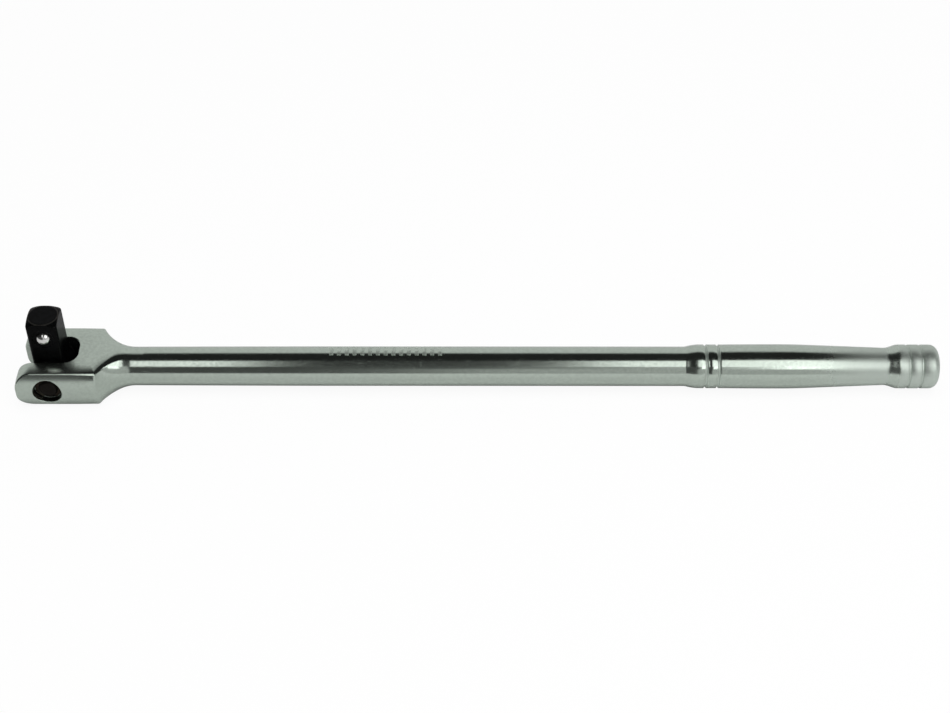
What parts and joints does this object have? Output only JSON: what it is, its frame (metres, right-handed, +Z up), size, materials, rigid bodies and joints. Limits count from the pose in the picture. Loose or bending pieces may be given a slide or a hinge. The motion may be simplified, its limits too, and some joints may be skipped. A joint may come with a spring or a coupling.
{
  "type": "breaker bar",
  "caption": "Hinge-handle breaker bar: a long chromed handle with a grooved grip and a forked head that carries a swinging black square drive with a ball detent.",
  "frame": {"origin": "on the surface the bar rests on, under the middle of its length, on its long axis", "axes": "+X along the handle from the fork towards the grip, +Z up along the drive square at rest, +Y away from the side with the detent ball"},
  "size_m": [0.38, 0.033, 0.0374],
  "materials": {
    "satin_chrome": "polished chrome plate on the shaft and satin on the head and grip",
    "black_phosphate": "oiled black phosphate, satin, a little worn at the edges",
    "dark_pin_steel": "dark oiled steel",
    "spring_steel": "brown oiled spring steel",
    "bright_ball_steel": "bright polished bearing steel"
  },
  "bodies": {
    "handle": {"handle": "satin_chrome", "hinge_pin": "dark_pin_steel", "retaining_ring_near": "spring_steel", "retaining_ring_far": "spring_steel", "friction_spring": "spring_steel"},
    "drive_tang": {"drive_tang": "black_phosphate", "detent_spring": "spring_steel"},
    "detent_ball": {"detent_ball": "bright_ball_steel"},
    "friction_ball": {"friction_ball": "bright_ball_steel"}
  },
  "joints": [
    {"name": "drive_hinge", "type": "hinge", "parent": "handle", "child": "drive_tang", "pos_m": [-0.1771, 0, 0.0092], "axis": [0, 1, 0], "range_deg": [-200, 20]},
    {"name": "detent_press", "type": "slide", "parent": "drive_tang", "child": "detent_ball", "axis": [0, 1, 0], "range_m": [0, 0.0015], "stiffness_N_per_m": 2500, "springref_m": -0.001, "deforming": ["detent_spring"]},
    {"name": "friction_ball_press", "type": "slide", "parent": "handle", "child": "friction_ball", "axis": [1, 0, 0], "range_m": [0, 0.0005], "stiffness_N_per_m": 4000, "springref_m": -0.001, "deforming": ["friction_spring"]}
  ]
}
